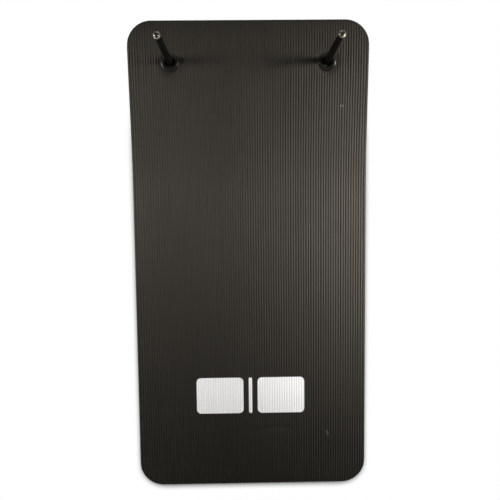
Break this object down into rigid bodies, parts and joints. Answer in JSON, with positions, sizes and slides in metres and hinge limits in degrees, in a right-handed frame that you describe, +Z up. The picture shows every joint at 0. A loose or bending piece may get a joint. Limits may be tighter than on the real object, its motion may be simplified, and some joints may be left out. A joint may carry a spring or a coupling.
{
  "type": "exercise mat",
  "caption": "Ribbed black foam exercise mat with round corners and eyelets, hung on the pegs of a flat wall rail and free to slide off them.",
  "frame": {"origin": "centre of the wall rail's back face, on the line between the two pegs", "axes": "+Z up along the hanging mat, +Y into the wall, +X to the viewer's right; the pegs and the mat's ribbed face point along -Y"},
  "size_m": [0.6096, 0.254, 1.2192],
  "materials": {
    "foam": "matte",
    "enamel": "gloss",
    "coated_steel": "satin",
    "bright_steel": "polished",
    "plug_plastic": "gloss",
    "cap_plastic": "matte",
    "zinc_steel": "satin"
  },
  "bodies": {
    "wall_rack": {"wall_rail": "coated_steel", "left_rail_cap": "cap_plastic", "right_rail_cap": "cap_plastic", "left_peg_tube": "coated_steel", "right_peg_tube": "coated_steel", "left_peg_ferrule": "bright_steel", "right_peg_ferrule": "bright_steel", "left_peg_plug": "plug_plastic", "right_peg_plug": "plug_plastic", "left_peg_insert": "zinc_steel", "right_peg_insert": "zinc_steel", "left_peg_screw": "zinc_steel", "right_peg_screw": "zinc_steel"},
    "hanging_mat": {"foam_mat": "foam", "left_eyelet_front": "enamel", "right_eyelet_front": "enamel", "left_eyelet_back": "enamel", "right_eyelet_back": "enamel"}
  },
  "joints": [
    {"name": "mat_slides_off_pegs", "type": "slide", "parent": "wall_rack", "child": "hanging_mat", "axis": [0, -1, 0], "range_m": [0, 0.26]}
  ]
}
